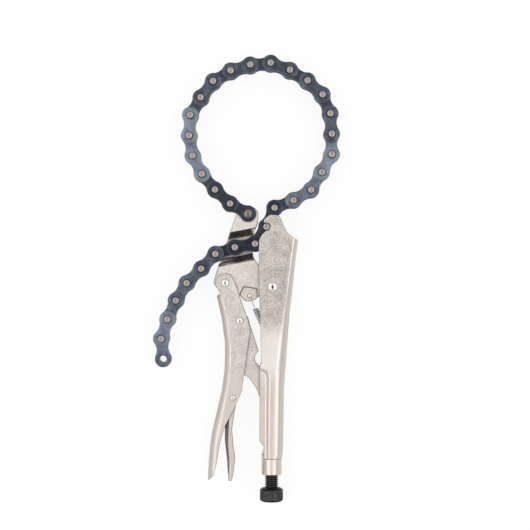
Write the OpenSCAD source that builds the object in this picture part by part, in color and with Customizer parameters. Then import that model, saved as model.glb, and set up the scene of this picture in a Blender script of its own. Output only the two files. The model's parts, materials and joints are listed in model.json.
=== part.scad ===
// Locking chain pliers: a toggle-locking handle set with a roller-free chain that hooks round a pipe.
// Millimetres. X right, Y up along the handles, Z towards the front face.
// The origin is the middle of the chain loop, which is the axis of the clamped pipe.

/* [Chain] */
// distance between neighbouring chain pins
pitch = 15.875; // [14:0.025:18]
// diameter of a chain pin
pin_d = 5.08; // [4:0.02:6]
// diameter of a link plate's round end
plate_end_d = 13; // [11:0.1:14.4]
// height of a link plate at its waist
plate_waist = 8.8; // [7:0.1:10]
// thickness of a link plate
plate_t = 1.6; // [1.2:0.05:2]
// length of pin that stands out of the outer plates on each side
pin_out = 2.7; // [2.5:0.05:3.5]
// chamfer on the pin ends
pin_chamfer = 0.4; // [0.1:0.05:0.8]
// heading of the first link as it leaves the anchor rivet
first_heading = 151; // [140:1:165]

/* [Fits] */
// side play between two sliding plates
side_play = 0.1; // [0.05:0.05:0.3]
// radial clearance of a turning pin in its hole
run_fit = 0.06; // [0.03:0.01:0.1]
// radial gap of a pressed pin in its hole
press_gap = 0.02; // [0.01:0.01:0.04]
// radial clearance of the hooked pin in its notch
hook_clear = 0.4; // [0.3:0.05:0.8]
// gap between the pin ends and the floor of the jaw's step
floor_clear = 0.35; // [0.3:0.05:1]

/* [Pivots] */
// chain anchor rivet in the jaw's tongue
anchor_at = [-9.7, -60.7]; // [-200:0.1:200]
// hooked chain pin in the fixed handle's notch
hook_at = [4.6, -70.9]; // [-200:0.1:200]
// jaw rivet in the fixed handle
jaw_at = [9.3, -117.4]; // [-200:0.1:200]
// rivet between the jaw and the movable handle
ear_at = [-27.5, -114.4]; // [-200:0.1:200]
// rivet between the movable handle and the toggle link
toggle_at = [-16.1, -143.8]; // [-200:0.1:200]
// release lever rivet in the movable handle
lever_at = [-21.4, -203.5]; // [-300:0.1:200]
// end of the toggle link on the screw's axis
seat_at = [8.5, -211]; // [-300:0.1:200]

/* [Rivets] */
// jaw rivet shank diameter
jaw_rivet_d = 6.4; // [5:0.1:7]
// jaw rivet head diameter
jaw_head_d = 8; // [7.5:0.1:9]
// ear rivet shank diameter
ear_rivet_d = 5; // [4:0.1:5.6]
// ear rivet head diameter
ear_head_d = 6.8; // [6.4:0.1:8]
// toggle rivet shank diameter
toggle_rivet_d = 4.6; // [3.6:0.1:5]
// toggle rivet head diameter
toggle_head_d = 6.2; // [5.8:0.1:7]
// release lever rivet shank diameter
lever_rivet_d = 3.2; // [2.6:0.1:3.8]
// release lever rivet head diameter
lever_head_d = 4.8; // [4.4:0.1:6]
// chain anchor rivet head diameter
anchor_head_d = 7.2; // [6.6:0.1:8]
// height of a rivet's domed head
head_h = 1.3; // [0.8:0.1:2]

/* [Jaw] */
// thickness of the jaw's tongue
tongue_t = 7; // [6:0.1:8]
// thickness of the jaw's body between the ears
jaw_t = 8.4; // [8:0.1:9.2]
// thickness of the metal behind the step's floor
floor_t = 4.4; // [3.5:0.1:6]
// thickness of the step's two walls
step_wall = 5; // [4:0.1:6]
// radius of the step's bends
step_r = 3; // [1.5:0.1:4]
// slant of the step across the jaw
step_slant = 10.5; // [6:0.5:14]
// distance from the anchor rivet to the upper edge of the step
step_top = 11.9; // [11.2:0.1:12.4]
// run of the step's sloping upper wall
step_run = 3; // [2:0.1:3.4]
// width of the step's floor
step_w = 18; // [17:0.1:20]
// how far the step's lower wall leans away from the chain
step_fall = 1.7; // [0.5:0.1:2.4]
// depth of the thinned spring lobe
lobe_cut = 1.8; // [1.4:0.1:2.2]
// spring hole diameter in the lobe
spring_hole_d = 2.8; // [2.4:0.1:3.4]

/* [Fixed handle] */
// sheet thickness of the fixed handle
sheet_t = 2.2; // [1.8:0.1:2.6]
// outer radius of the bend at the nose end
bend_top = 5; // [4:0.1:7]
// outer radius of the bend at the tube end
bend_low = 7.8; // [7.2:0.1:8.2]
// half depth of the rolled part
rolled_half = 8.7; // [8.4:0.1:9]
// depth that the rolled part's lips are pressed in
lip_d = 1.9; // [1.4:0.1:2.6]
// width of the lips
lip_w = 4.2; // [3.6:0.1:4.4]
// width of the bend between a lip and the rolled crest
lip_run = 4; // [3:0.1:4.2]
// outer diameter of the tube round the screw
tube_d = 15.7; // [14:0.1:17]
// length of the tube below the folded sheet
tube_len = 16; // [13:0.1:24]

/* [Movable handle] */
// sheet thickness of the movable handle
arm_t = 2.1; // [1.8:0.1:2.4]
// outer radius of an ear
ear_r = 7.3; // [6.6:0.1:7.8]
// outer radius of the spine's bends at the top
spine_r_top = 5.2; // [4:0.1:6]
// outer radius of the spine's bends at the tip
spine_r_low = 5.7; // [4.6:0.1:6.2]

/* [Toggle link] */
// thickness of the toggle link
toggle_t = 6; // [5:0.1:6.2]
// gap between the toggle link's end and the screw
seat_gap = 1.1; // [0.9:0.1:2]
// radius of the toggle link's end
toggle_tip_r = 4; // [3:0.1:5]

/* [Release lever] */
// overall width of the release lever
lever_w = 8; // [6.4:0.1:8.2]
// sheet thickness of the release lever
lever_t = 1.5; // [1.2:0.1:1.8]

/* [Screw] */
// outside diameter of the screw's thread
screw_d = 9.4; // [8:0.1:10]
// diameter of the knob
knob_d = 18.1; // [16:0.1:20]
// length of the knob
knob_h = 11.6; // [9:0.1:14]
// length of bare thread between the tube and the knob
screw_bare = 9.6; // [8.5:0.1:16]

/* [Spring] */
// wire diameter of the return spring
wire_d = 0.7; // [0.5:0.05:0.8]
// mean diameter of the coil
coil_d = 4.2; // [3.8:0.1:5]
// number of coils
coils = 16; // [10:1:20]
// pitch of the coil
coil_pitch = 1.2; // [1.15:0.05:1.3]
// start of the coil
coil_from = [-4.2, -134.4]; // [-200:0.1:200]
// heading of the coil's axis
coil_heading = -65; // [-75:1:-55]

/* [Hidden] */
$fn = 48;
link_count = 31;
loop_links = 21;

// turn at each pin of the loop, as the loose chain lies
loop_turns = [14, 7, 13, 17, 13, 28, 6, 22, 14, 12, 25, 11, 12, 24, 19, 4, 29, 2, 28, 9];
// headings of the tail's links from the hooked pin to the end eye
tail_headings = [-124, -170, -161, -134, -135, -122, -114, -108, -85];

// half widths across the chain, built up from the tongue
inner_in = tongue_t / 2 + 1.5 * side_play;
inner_out = inner_in + plate_t;
outer_in = inner_out + side_play;
outer_out = outer_in + plate_t;
pin_half = outer_out + pin_out;

// half widths across the handles
cheek_in = outer_out + 3 * side_play;
cheek_out = cheek_in + sheet_t;
arm_in = jaw_t / 2 + 1.5 * side_play;
arm_out = arm_in + arm_t;
hub_half = cheek_in - side_play;
screw_x = seat_at[0];
tail_y = -251;
tube_top = tail_y + 3.4;
tube_end = tube_top - tube_len;
neck_h = 7;
lobe_at = [-8.5, -124.5];
peg_at = [6.6, -161];
peg_d = 2.4;
hole_r = pin_d / 2 + run_fit;

steel = [0.82, 0.80, 0.77];
blued = [0.22, 0.24, 0.30];
pin_grey = [0.62, 0.59, 0.56];
black = [0.08, 0.08, 0.08];

function unit(v) = v / norm(v);
function polar(r, t) = [r * cos(t), r * sin(t)];
function turned(p, t) = [p[0] * cos(t) - p[1] * sin(t), p[0] * sin(t) + p[1] * cos(t)];
function flat(p) = [p[0], p[1]];
function ease(t) = let (s = min(1, max(0, t))) s * s * (3 - 2 * s);

// one rounded corner at p1 between p0 and p2
function corner(p0, p1, p2, r, n) =
    r <= 0 ? [p1] :
    let (
        u = unit(p0 - p1),
        w = unit(p2 - p1),
        half = acos(max(-1, min(1, u * w))) / 2,
        mid = p1 + unit(u + w) * r / sin(half),
        from = p1 + u * r / tan(half) - mid,
        to = p1 + w * r / tan(half) - mid,
        t0 = atan2(from[1], from[0]),
        t1 = atan2(to[1], to[0]),
        dt = t1 - t0 - 360 * round((t1 - t0) / 360)
    )
    [for (k = [0 : n]) mid + polar(r, t0 + dt * k / n)];

// an outline whose points carry their own corner radius
function rounded(pts, n = 6) =
    let (m = len(pts))
    [for (i = [0 : m - 1])
        each corner(flat(pts[(i + m - 1) % m]), flat(pts[i]), flat(pts[(i + 1) % m]), pts[i][2], n)];

// loop headings and pins for one common correction to every turn
function loop_headings(e) =
    [for (i = 0, h = first_heading;
          i < loop_links;
          h = h - (i < len(loop_turns) ? loop_turns[i] : 0) - e, i = i + 1) h];
function walk(start, heads) =
    [for (i = 0, p = start;
          i <= len(heads);
          p = p + (i < len(heads) ? polar(pitch, heads[i]) : [0, 0]), i = i + 1) p];
function loop_miss(e) =
    let (p = walk(anchor_at, loop_headings(e)))
    norm(p[loop_links] - hook_at) - pitch;
// the correction that lets the next link reach the hook exactly
function solve(lo, hi, n) =
    n == 0 ? (lo + hi) / 2 :
    let (mid = (lo + hi) / 2)
    loop_miss(lo) * loop_miss(mid) <= 0 ? solve(lo, mid, n - 1) : solve(mid, hi, n - 1);

search = [for (k = [-60 : 60]) if (loop_miss(k / 20) * loop_miss((k + 1) / 20) <= 0) k / 20];
nearest = min([for (s = search) abs(s)]);
bracket = [for (s = search) if (abs(s) == nearest) s][0];
loop_fix = solve(bracket, bracket + 0.05, 40);
loop_pins = walk(anchor_at, loop_headings(loop_fix));
pins = concat(loop_pins, walk(hook_at, tail_headings));
function link_heading(i) = let (v = pins[i + 1] - pins[i]) atan2(v[1], v[0]);

two = function (i) str(i < 10 ? "0" : "", i);
link_names = [for (i = [1 : link_count]) str("chain_link_", two(i))];

// outline of a link plate along X from pin to pin
plate_r = plate_end_d / 2;
waist_h = plate_waist / 2;
waist_r = (pow(pitch / 2, 2) + pow(waist_h, 2) - pow(plate_r, 2)) / (2 * (plate_r - waist_h));
blend_t = atan2(waist_h + waist_r, pitch / 2);
quarter = concat(
    [for (k = [0 : 9]) polar(plate_r, 180 - (180 - blend_t) * k / 9)],
    [for (k = [1 : 4])
        [pitch / 2, waist_h + waist_r] + polar(waist_r, blend_t - 180 + (90 - blend_t) * k / 4)]);
upper = concat(quarter, [for (k = [len(quarter) - 2 : -1 : 0]) [pitch - quarter[k][0], quarter[k][1]]]);
plate_line = concat(upper, [for (k = [len(upper) - 2 : -1 : 1]) [upper[k][0], -upper[k][1]]]);

module plate(z, r) {
    translate([0, 0, z])
    difference() {
        linear_extrude(plate_t) polygon(plate_line);
        for (x = [0, pitch]) translate([x, 0, -1]) cylinder(r = r, h = plate_t + 2);
    }
}

module pin() {
    rotate_extrude()
    polygon([[0, -pin_half], [pin_d / 2 - pin_chamfer, -pin_half], [pin_d / 2, -pin_half + pin_chamfer],
             [pin_d / 2, pin_half - pin_chamfer], [pin_d / 2 - pin_chamfer, pin_half], [0, pin_half]]);
}

module chain_link(i) {
    translate([pins[i][0], pins[i][1], 0])
    rotate(link_heading(i))
    if (i % 2 == 0) {
        color(blued) plate(inner_in, hole_r);
        color(blued) plate(-inner_out, hole_r);
    } else {
        color(blued) plate(outer_in, pin_d / 2 + press_gap);
        color(blued) plate(-outer_out, pin_d / 2 + press_gap);
        color(pin_grey) pin();
        color(pin_grey) translate([pitch, 0, 0]) pin();
    }
}

// a shank with a domed head on each end, standing on faces at -half and half
module rivet(d, head_d, half) {
    dome_r = (pow(head_d / 2, 2) + pow(head_h, 2)) / (2 * head_h);
    rise = half + side_play / 5;
    open = asin(head_d / 2 / dome_r);
    cap = [for (k = [0 : 8]) [0, rise + head_h - dome_r] + polar(dome_r, 90 - open + open * k / 8)];
    low = [for (k = [8 : -1 : 0]) [cap[k][0], -cap[k][1]]];
    rotate_extrude()
    polygon(concat([for (p = cap) [max(0, p[0]), p[1]]], [for (p = low) [max(0, p[0]), p[1]]],
                   [[d / 2, -rise], [d / 2, rise]]));
}

module jaw_rivet() {
    color(steel) translate(jaw_at) rivet(jaw_rivet_d, jaw_head_d, cheek_out);
}

module ear_rivet() {
    color(steel) translate(ear_at) rivet(ear_rivet_d, ear_head_d, arm_out);
}

module toggle_rivet() {
    color(steel) translate(toggle_at) rivet(toggle_rivet_d, toggle_head_d, arm_out);
}

module lever_rivet() {
    color(steel) translate(lever_at) rivet(lever_rivet_d, lever_head_d, arm_out);
}

module anchor_rivet() {
    color(steel) translate(anchor_at) rivet(pin_d, anchor_head_d, inner_out + side_play);
}

// section of a bent sheet from its row [y, open edge, spine, half depth, bend, lip depth, lip width],
// t inside the outer face; a row without the last two numbers has a plain open edge
function half_section(s, t) =
    let (h = s[3] - t)
    concat(
        len(s) == 5 ? [[s[1], h]] : concat(
            [[s[1], h - s[5]]],
            [for (j = [0 : 6]) [s[1] + s[6] + lip_run * j / 6 + 0.45 * t, h - s[5] * (1 - ease(j / 6))]]),
        [for (j = [0 : 8]) [s[2] - s[4], s[3] - s[4]] + polar(s[4] - t, 90 - 90 * j / 8)]);
function back(pts) = [for (j = [len(pts) - 1 : -1 : 0]) [pts[j][0], -pts[j][1]]];
function ring(s, t, side) =
    let (
        o = half_section(s, 0),
        i = half_section(s, t),
        outer = concat(o, back(o)),
        inner = concat(i, back(i))
    )
    concat([for (p = outer) [side * p[0], s[0], side * p[1]]],
           [for (j = [len(inner) - 1 : -1 : 0]) [side * inner[j][0], s[0], side * inner[j][1]]]);

// a skin over the rings of the rows; side 1 puts the spine on the right, side -1 on the left
module bent_sheet(rows, t, side) {
    rings = [for (s = rows) ring(s, t, side)];
    m = len(rings[0]);
    n = len(rings);
    h = m / 2;
    sides = [for (k = [0 : n - 2]) for (j = [0 : m - 1]) let (a = k * m + j, b = k * m + (j + 1) % m)
        each [[a, a + m, b], [b, a + m, b + m]]];
    low_end = [for (j = [0 : h - 2]) each [[j, j + 1, m - 1 - j], [j + 1, m - 2 - j, m - 1 - j]]];
    top = (n - 1) * m;
    high_end = [for (f = low_end) [top + f[0], top + f[2], top + f[1]]];
    polyhedron([for (r = rings) each r], concat(sides, low_end, high_end), convexity = 8);
}

// edges of the fixed handle against height
function fixed_open(y) =
    lookup(y, [[-260, -0.9], [-236, -0.9], [-198, -0.7], [-186, -0.6], [-178, -1], [-150, -1.5],
               [-124, -2.4], [-84, -4], [-50, -12]]);
function fixed_spine(y) =
    lookup(y, [[-260, 16.3], [-250.6, 16.4], [-244.8, 17.6], [-235, 17.7], [-197, 18.3], [-170, 20.2],
               [-140, 22.4], [-124, 24.4], [-94, 27.5], [-81, 29.3], [-50, 33.8]]);
lip_y = -181;
function fixed_roll(y) = ease((lip_y + 1 - y) / 18);
function lip_arch(y) = let (u = min(1, max(0, (lip_y - y) / 8))) sqrt(1 - (1 - u) * (1 - u));
fixed_heights = [-254, -246, -240, -226, -212, -198, -193, -189, -187, -185, -183, -182, -181, -180, -177,
                 -170, -160, -150, -137, -124, -109, -94, -80, -52];
fixed_rows = [for (y = fixed_heights)
    [y, fixed_open(y), fixed_spine(y), cheek_out + (rolled_half - cheek_out) * fixed_roll(y),
     min(bend_top + (bend_low - bend_top) * ease((-80 - y) / 115),
         fixed_spine(y) - fixed_open(y) - lip_w - lip_run - 0.5 * sheet_t - 0.1),
     lip_d * ease((lip_y + 1 - y) / 3.5), lip_w * lip_arch(y)]];

// outline of the fixed handle, nose first, then round by the right to the left edge
fixed_outline = rounded([
    [2.6, -68, 0.5], [2.3, -65.6, 2], [7, -61.6, 4], [14.6, -61.9, 4], [17.6, -68.8, 8], [20.8, -75.6, 8],
    [25.2, -79, 6], [29.6, -81.6, 0], [40, -82.6, 0], [40, tail_y, 0], [2.6, tail_y, 0], [2.6, -241.4, 2],
    [-0.6, -237, 1.5], [-4, -235.4, 0], [-4, -190, 0], [0.5, -176, 6], [0, -150, 0], [-0.9, -126, 0],
    [-1.4, -90, 0], [-1.3, -81.6, 4], [1, -77, 4], [4.6, -73.6, 0.6], [6, -70.9, 0], [4.6, -68, 0]], 8);

module fixed_handle() {
    notch_r = pin_d / 2 + hook_clear;
    color(steel)
    difference() {
        union() {
            intersection() {
                bent_sheet(fixed_rows, sheet_t, 1);
                translate([0, 0, -cheek_out - 2]) linear_extrude(2 * cheek_out + 4) polygon(fixed_outline);
            }
            translate([screw_x, tube_end, 0]) rotate([-90, 0, 0]) cylinder(d = tube_d, h = tube_len);
            translate([screw_x, tube_top - press_gap, 0])
            rotate([-90, 0, 0])
            cylinder(d1 = tube_d - 0.4, d2 = tube_d - 4.4, h = neck_h);
            translate([peg_at[0], peg_at[1], -cheek_in - 0.4]) cylinder(d = peg_d, h = cheek_in + 2.4);
        }
        translate([hook_at[0], hook_at[1], -20]) cylinder(r = notch_r, h = 40);
        translate([hook_at[0] - 12, hook_at[1] - notch_r * 0.9, -20]) cube([12, notch_r * 1.8, 40]);
        translate([screw_x, tube_end - 1, 0])
        rotate([-90, 0, 0])
        cylinder(r = screw_d / 2 + run_fit, h = tube_len + neck_h + 7);
        translate([jaw_at[0], jaw_at[1], -20]) cylinder(r = jaw_rivet_d / 2 + press_gap, h = 40);
    }
}

// jaw: side profile across the step, measured from the anchor rivet, and the outline seen from the front
floor_z = -pin_half - floor_clear;
step_from = step_top + step_run;
step_to = step_from + step_w;
jaw_profile = rounded([
    [14, tongue_t / 2, 0], [-step_top, tongue_t / 2, 0.8], [-step_from, floor_z, step_r],
    [-step_to, floor_z, step_r], [-step_to - step_fall, jaw_t / 2, step_r + 1], [-90, jaw_t / 2, 0],
    [-90, -jaw_t / 2, 0], [-step_to - step_wall, -jaw_t / 2, 2],
    [-step_to - step_wall, floor_z - floor_t, 5], [-step_from + step_wall, floor_z - floor_t, 5],
    [-step_from + step_wall, -tongue_t / 2, 2], [14, -tongue_t / 2, 0]], 8);
jaw_outline = rounded([
    [-1.6, -61.9, 0], [-1.9, -67.4, 3], [-5.6, -77, 5], [-6.2, -90.5, 4], [-4.8, -96, 5], [0, -102, 5],
    [9.3, -108.8, 3], [17.6, -114, 5], [17.6, -122, 5], [9.3, -126, 4], [-1.1, -124.9, 2], [-4.5, -127.6, 3],
    [-8.2, -129.2, 4], [-12.6, -128.2, 2.5], [-16.7, -123.4, 3], [-30.6, -123.2, 6], [-36.8, -114.4, 4],
    [-31.8, -98, 8], [-26.8, -83, 8], [-18.2, -59.6, 3], [-8.6, -61.9, 0]], 8);

module jaw() {
    color(steel)
    difference() {
        union() {
            intersection() {
                translate([anchor_at[0], anchor_at[1], 0])
                rotate([0, 0, step_slant])
                translate([-60, 0, 0])
                rotate([90, 0, 90])
                linear_extrude(120)
                polygon(jaw_profile);
                translate([0, 0, -40])
                linear_extrude(80)
                union() {
                    polygon(jaw_outline);
                    translate([-8.6, -61.9]) circle(r = 7);
                }
            }
            translate([jaw_at[0], jaw_at[1], -hub_half]) cylinder(d = 15, h = 2 * hub_half);
        }
        translate([0, 0, jaw_t / 2 - lobe_cut]) linear_extrude(9)
        polygon([[-12.8, -117.3], [-2.9, -118.9], [-2.4, -126.4], [-9, -134], [-18, -126.4]]);
        translate([anchor_at[0], anchor_at[1], -20]) cylinder(r = pin_d / 2 + press_gap, h = 40);
        translate([jaw_at[0], jaw_at[1], -20]) cylinder(r = jaw_rivet_d / 2 + run_fit, h = 40);
        translate([ear_at[0], ear_at[1], -20]) cylinder(r = ear_rivet_d / 2 + run_fit, h = 40);
        translate([lobe_at[0], lobe_at[1], -20]) cylinder(d = spring_hole_d, h = 40);
    }
}

// edges of the movable handle against height, measured with the spine to the right
function arm_open(y) =
    lookup(y, [[-270, 24], [-252, 23], [-231, 20], [-211, 13], [-198, 9], [-150, 4], [-100, 10]]);
function arm_spine(y) =
    lookup(y, [[-270, 41.1], [-251.5, 40.2], [-241, 39.3], [-230, 37.7], [-219, 35.2], [-210, 33],
               [-197.8, 30.1], [-182.4, 28.1], [-170, 27.6], [-160, 27.8], [-140.7, 30.4], [-126, 33.8],
               [-124.4, 34.1], [-121.4, 48], [-100, 50]]);
arm_heights = [-270, -261, -251.5, -241, -230, -219, -210, -204, -197.8, -190, -182.4, -176, -170, -160, -150,
               -140.7, -133, -126, -124.4, -121.4, -100];
arm_rows = [for (y = arm_heights) let (h = arm_out - 0.5 * ease((-230 - y) / 40))
    [y, arm_open(y), arm_spine(y), h,
     min(h - 0.4, spine_r_top + (spine_r_low - spine_r_top) * ease((-140 - y) / 70))]];
ear_arc = [for (k = [0 : 24]) let (p = ear_at + polar(ear_r, 213 - 197 * k / 24)) [p[0], p[1], 0]];
arm_outline = rounded(concat([
    [-16.6, -123.5, 0], [-9.4, -144.5, 6], [-7.9, -151.3, 8], [-10.9, -172.3, 0],
    [-13.1, -187.1, 0], [-14.8, -199.2, 12], [-20.9, -212.9, 0], [-27.7, -226, 6], [-31.7, -240, 0],
    [-34.5, -256.5, 6], [-36.3, -264, 3], [-40.4, -267.8, 1.2], [-50, -268, 0], [-50, -125.4, 0],
    [-34.2, -125.1, 0], [-31.6, -122, 0]], ear_arc), 8);

module movable_handle() {
    color(steel)
    difference() {
        intersection() {
            bent_sheet(arm_rows, arm_t, -1);
            translate([0, 0, -20]) linear_extrude(40) polygon(arm_outline);
        }
        translate([ear_at[0], ear_at[1], -20]) cylinder(r = ear_rivet_d / 2 + press_gap, h = 40);
        translate([toggle_at[0], toggle_at[1], -20]) cylinder(r = toggle_rivet_d / 2 + press_gap, h = 40);
        translate([lever_at[0], lever_at[1], -20]) cylinder(r = lever_rivet_d / 2 + press_gap, h = 40);
    }
}

toggle_outline = rounded([
    [-16, -137.6, 5], [-10, -140, 5], [-8.1, -147.3, 4], [-1.6, -167.1, 1], [-4.3, -170.9, 1.4],
    [-4.3, -175.6, 1.4], [0.6, -181, 3], [11.6, -196, 6],
    [seat_at[0] + toggle_tip_r, seat_at[1] + 1.5, 2], [seat_at[0] + toggle_tip_r * 0.7, seat_at[1], 1.2],
    [seat_at[0] - toggle_tip_r * 0.7, seat_at[1], 1.2], [seat_at[0] - toggle_tip_r, seat_at[1] + 1.5, 2],
    [-0.4, -203.8, 4], [-3.5, -195.9, 4], [-9.3, -187.9, 3], [-13.7, -185.8, 3], [-18.4, -180, 5],
    [-20.6, -160, 5], [-22, -141, 5]], 8);

module toggle_link() {
    color(steel)
    difference() {
        translate([0, 0, -toggle_t / 2]) linear_extrude(toggle_t) polygon(toggle_outline);
        translate([toggle_at[0], toggle_at[1], -20]) cylinder(r = toggle_rivet_d / 2 + run_fit, h = 40);
    }
}

lever_right = [[-19.5, -211.3, 6], [-22.2, -228.2, 14], [-21.1, -241.1, 14], [-19.6, -251.1, 6],
               [-21.2, -263, 4]];
lever_outline = rounded(concat(
    [[-22.4, -194, 1.5], [-18.3, -194.2, 1.5], [-17.5, -202.4, 4]], lever_right,
    [[-22.4, -268.4, 1.2], [-25, -268.1, 1.2], [-26, -254, 10], [-27.8, -237.1, 10], [-27.7, -224.2, 8],
     [-25.2, -204.3, 5]]), 8);
lever_groove = rounded(concat(
    [for (p = lever_right) [p[0] - lever_t, p[1], p[2]]],
    [[-23.4, -266, 0], [-40, -275, 0], [-40, -196, 0], [-20.4, -190, 0]]), 8);

module release_lever() {
    color(steel)
    difference() {
        translate([0, 0, -lever_w / 2]) linear_extrude(lever_w) polygon(lever_outline);
        translate([0, 0, lever_t - lever_w / 2]) linear_extrude(lever_w - 2 * lever_t) polygon(lever_groove);
        translate([lever_at[0], lever_at[1], -20]) cylinder(r = lever_rivet_d / 2 + run_fit, h = 40);
    }
}

module adjusting_screw() {
    knob_top = tube_end - screw_bare;
    knob_low = knob_top - knob_h;
    tip = seat_at[1] - seat_gap;
    color(black)
    translate([screw_x, 0, 0])
    rotate([-90, 0, 0])
    rotate_extrude()
    polygon([[0, knob_low], [knob_d / 2 - 2.2, knob_low], [knob_d / 2 - 0.6, knob_low + 0.9],
             [knob_d / 2, knob_low + 2.4], [knob_d / 2, knob_top - 1.2], [knob_d / 2 - 1.2, knob_top],
             [screw_d / 2, knob_top], [screw_d / 2, tip - 1], [screw_d / 2 - 1, tip], [0, tip]]);
}

// wire path of the return spring: hook in the jaw's lobe, lead, coil, lead, hook round the handle's peg
coil_n = 8;
coil_axis = polar(1, coil_heading);
coil_side = polar(1, coil_heading + 90);
coil_len = coils * coil_pitch;
function coil_point(s, t) =
    let (p = coil_from + coil_axis * s + coil_side * coil_d / 2 * cos(t)) [p[0], p[1], coil_d / 2 * sin(t)];
hook_z = jaw_t / 2 - lobe_cut + wire_d / 2 + 0.9;
lead_end = coil_point(-2.2, 90);
spring_path = concat(
    [[lobe_at[0], lobe_at[1], -1], [lobe_at[0], lobe_at[1], hook_z - 1]],
    [for (k = [1 : 4])
        let (p = lobe_at + coil_axis * (1 - cos(k * 22.5)))
        [p[0], p[1], hook_z - 1 + sin(k * 22.5)]],
    [lead_end],
    [for (k = [0 : coils * coil_n]) coil_point(coil_pitch * k / coil_n, 90 + 360 * k / coil_n)],
    [coil_point(coil_len + 2, 90), coil_point(coil_len + 6.5, 90)]);
path_n = len(spring_path);
tangents = [for (i = [0 : path_n - 1])
    unit(spring_path[min(i + 1, path_n - 1)] - spring_path[max(i - 1, 0)])];
function carry(v, t) = unit(v - (v * t) * t);
normals = [for (i = 0, v = carry([1, 0, 0], tangents[0]);
                i < path_n;
                v = i + 1 < path_n ? carry(v, tangents[i + 1]) : v, i = i + 1) v];

module return_spring() {
    m = 6;
    pts = [for (i = [0 : path_n - 1]) for (j = [0 : m - 1])
        let (across = cross(tangents[i], normals[i]))
        spring_path[i] + wire_d / 2 * (cos(60 * j) * normals[i] + sin(60 * j) * across)];
    sides = [for (i = [0 : path_n - 2]) for (j = [0 : m - 1]) let (a = i * m + j, b = i * m + (j + 1) % m)
        each [[a, a + m, b], [b, a + m, b + m]]];
    last = (path_n - 1) * m;
    ends = [for (j = [1 : m - 2]) each [[0, j, j + 1], [last, last + j + 1, last + j]]];
    color(steel) polyhedron(pts, concat(sides, ends), convexity = 10);
}

echo(coil_self_gap = coil_pitch - wire_d, chain_fix = loop_fix, pin_half = pin_half);

fixed_handle();
jaw();
movable_handle();
toggle_link();
release_lever();
adjusting_screw();
return_spring();
jaw_rivet();
ear_rivet();
toggle_rivet();
lever_rivet();
anchor_rivet();
for (i = [0 : link_count - 1]) chain_link(i);
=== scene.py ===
"""Locking chain pliers: the finished pieces and the stage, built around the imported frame."""
import json
import math

import bmesh
import bpy
from bpy.props import FloatProperty, FloatVectorProperty, IntProperty, PointerProperty
from mathutils import Matrix, Vector


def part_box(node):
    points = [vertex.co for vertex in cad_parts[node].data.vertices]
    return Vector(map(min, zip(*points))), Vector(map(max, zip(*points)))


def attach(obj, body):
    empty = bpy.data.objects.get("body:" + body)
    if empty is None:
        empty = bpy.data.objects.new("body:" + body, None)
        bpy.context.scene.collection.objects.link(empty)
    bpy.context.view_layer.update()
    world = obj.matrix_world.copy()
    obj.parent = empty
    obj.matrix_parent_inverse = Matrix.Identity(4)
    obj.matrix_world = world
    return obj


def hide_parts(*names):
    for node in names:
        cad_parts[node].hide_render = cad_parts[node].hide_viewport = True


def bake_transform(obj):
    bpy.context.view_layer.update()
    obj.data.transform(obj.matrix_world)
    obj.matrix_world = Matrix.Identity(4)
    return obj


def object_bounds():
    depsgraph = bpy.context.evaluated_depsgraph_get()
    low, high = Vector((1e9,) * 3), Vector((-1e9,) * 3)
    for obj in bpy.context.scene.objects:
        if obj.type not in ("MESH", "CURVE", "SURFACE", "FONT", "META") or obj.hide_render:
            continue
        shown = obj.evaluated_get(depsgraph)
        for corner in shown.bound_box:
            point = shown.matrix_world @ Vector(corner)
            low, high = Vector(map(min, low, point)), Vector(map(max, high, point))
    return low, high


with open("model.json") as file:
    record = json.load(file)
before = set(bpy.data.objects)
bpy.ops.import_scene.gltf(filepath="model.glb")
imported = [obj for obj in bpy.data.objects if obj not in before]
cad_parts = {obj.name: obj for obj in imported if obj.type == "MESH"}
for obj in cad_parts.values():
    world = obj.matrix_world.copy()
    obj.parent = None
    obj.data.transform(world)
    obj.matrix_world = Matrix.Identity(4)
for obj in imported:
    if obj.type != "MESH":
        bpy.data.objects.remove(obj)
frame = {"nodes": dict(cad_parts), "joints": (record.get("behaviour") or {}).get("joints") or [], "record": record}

bl_info = {
    "name": "Locking Chain Pliers",
    "version": (1, 0, 0),
    "blender": (4, 5, 0),
    "location": "View3D > Sidebar > Pliers",
    "description": "Builds the finished locking chain pliers around their fixed frame",
    "category": "Object",
}

CAD_LOW, CAD_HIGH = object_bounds()
JOINTS = {j["name"]: j for j in frame["joints"]}
EYE = [m for m in frame["record"]["mounts"] if m["name"] == "chain_eye"][0]
LINKS = sorted(n for n in frame["nodes"] if n.startswith("chain_link_"))
TURNS = [Vector(JOINTS[f"link_{n[-2:]}_turn"]["pos_m"]) for n in LINKS]
# Link tone sets: the dark set holds painted shade under the jaw, and the pale set holds painted reflected light from
# the side lamps, over the bluing's own spread.
DARK_LINKS = {1, 2, 21, 22, 23, 24, 25}
GREY_LINKS = {5, 17, 19, 20, 27, 28, 29, 31}
PALE_LINKS = {4, 6, 18, 30}


def chain_pins():
    """Pin centres from the anchor to the end eye; the loop's open pin lies one pitch from both its neighbours."""
    before, after = TURNS[10], TURNS[11]
    middle, half = (before + after) / 2, (after - before) / 2
    reach = (TURNS[1] - TURNS[0]).length
    out = middle.normalized() - half * (half.dot(middle.normalized()) / half.length_squared)
    top = middle + out.normalized() * math.sqrt(reach ** 2 - half.length_squared)
    return TURNS[:11] + [top] + TURNS[11:22] + TURNS[23:] + [Vector(EYE["pos_m"])]


PINS = chain_pins()
SHEET_GRAIN = (-0.163, -0.140)
ARM_GRAIN = (-0.200, -0.178)
RIM_SLOT = 1
LEVER_MOUTH = ((-0.0246, -0.212), (-0.0251, -0.227), (-0.0256, -0.239), (-0.0246, -0.251), (-0.0249, -0.2625))
LEVER_FLOOR = 0.0024


# Settings

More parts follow.
